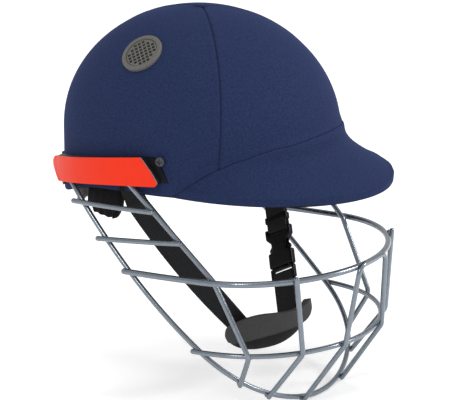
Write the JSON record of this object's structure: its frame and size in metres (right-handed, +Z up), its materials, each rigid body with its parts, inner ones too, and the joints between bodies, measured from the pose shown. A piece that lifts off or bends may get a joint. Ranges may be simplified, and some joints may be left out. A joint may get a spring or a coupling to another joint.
{
  "type": "cricket helmet",
  "caption": "Cricket batting helmet: cloth-covered shell with a peak, welded wire face guard, side plates and a chin strap with a side-release buckle and chin cup.",
  "frame": {"origin": "middle of the head ring, on the dome's centre line at its widest level", "axes": "+X to the wearer's left, -Y to the front, +Z up"},
  "size_m": [0.2274, 0.2867, 0.3112],
  "materials": {
    "cloth": "woven polyester cloth, glued over the shell",
    "shell": "moulded ABS",
    "vent": "moulded grey plastic",
    "liner_foam": "expanded foam",
    "pad": "cloth-faced foam",
    "nape_foam": "cloth-faced foam, taupe",
    "wire": "powder-coated steel wire",
    "bracket": "moulded black plastic",
    "plate_tray": "moulded light grey plastic",
    "plate_face": "moulded orange plastic",
    "bolt": "plated steel",
    "webbing": "woven nylon webbing",
    "buckle": "moulded acetal",
    "cup": "moulded foam",
    "cup_lining": "brushed cloth"
  },
  "bodies": {
    "root": {"outer_shell": "shell", "cover_front": "cloth", "cover_right": "cloth", "cover_left": "cloth", "cover_peak": "cloth", "crown_join": "cloth", "vent_right": "vent", "vent_left": "vent", "shock_liner": "liner_foam", "crown_pad": "pad", "brow_pad": "pad", "side_pad_right": "pad", "side_pad_left": "pad", "nape_pad": "nape_foam", "ear_pad_right": "pad", "ear_pad_left": "pad", "brow_bar": "wire", "lower_bar": "wire", "chin_bar": "wire", "stay_right": "wire", "stay_left": "wire", "cross_bars_right": "wire", "cross_bars_left": "wire", "upright_right": "wire", "upright_left": "wire", "centre_loop": "wire", "guard_bracket_right": "bracket", "guard_bracket_left": "bracket", "side_plate_right": "plate_tray", "side_plate_left": "plate_tray", "plate_face_right": "plate_face", "plate_face_left": "plate_face", "guard_bolts_right": "bolt", "guard_bolts_left": "bolt", "bolt_nuts_right": "bolt", "bolt_nuts_left": "bolt", "strap_rivet_right": "bolt", "strap_rivet_left": "bolt"},
    "chin_strap": {"right_strap": "webbing", "left_strap_upper": "webbing", "buckle_socket": "buckle", "left_strap_lower": "webbing", "chin_cup": "cup", "chin_cup_lining": "cup_lining"},
    "keeper": {"strap_keeper": "buckle"},
    "plug": {"buckle_plug": "buckle"},
    "prong_front": {"buckle_prong_front": "buckle"},
    "prong_rear": {"buckle_prong_rear": "buckle"}
  },
  "joints": [
    {"name": "strap_swing", "type": "hinge", "parent": "root", "child": "chin_strap", "pos_m": [0, 0.008, -0.02], "axis": [1, 0, 0], "range_deg": [-15, 25]},
    {"name": "keeper_slide", "type": "slide", "parent": "chin_strap", "child": "keeper", "axis": [-0.4472, -0.413, -0.7934], "range_m": [-0.01, 0.004]},
    {"name": "plug_slide", "type": "slide", "parent": "chin_strap", "child": "plug", "axis": [-0.4472, -0.413, -0.7934], "range_m": [0, 0.02], "deforming": ["left_strap_lower", "buckle_prong_front", "buckle_prong_rear"]},
    {"name": "prong_front_squeeze", "type": "hinge", "parent": "plug", "child": "prong_front", "pos_m": [0.05145, -0.05433, -0.12435], "axis": [0.8944, -0.2065, -0.3967], "range_deg": [-6, 0], "stiffness_Nm_per_rad": 0.2},
    {"name": "prong_rear_squeeze", "type": "hinge", "parent": "plug", "child": "prong_rear", "pos_m": [0.05145, -0.04173, -0.13091], "axis": [0.8944, -0.2065, -0.3967], "range_deg": [0, 6], "stiffness_Nm_per_rad": 0.2}
  ],
  "couplings": [
    {"joint": "prong_rear_squeeze", "follows": "prong_front_squeeze", "ratio": -1}
  ]
}
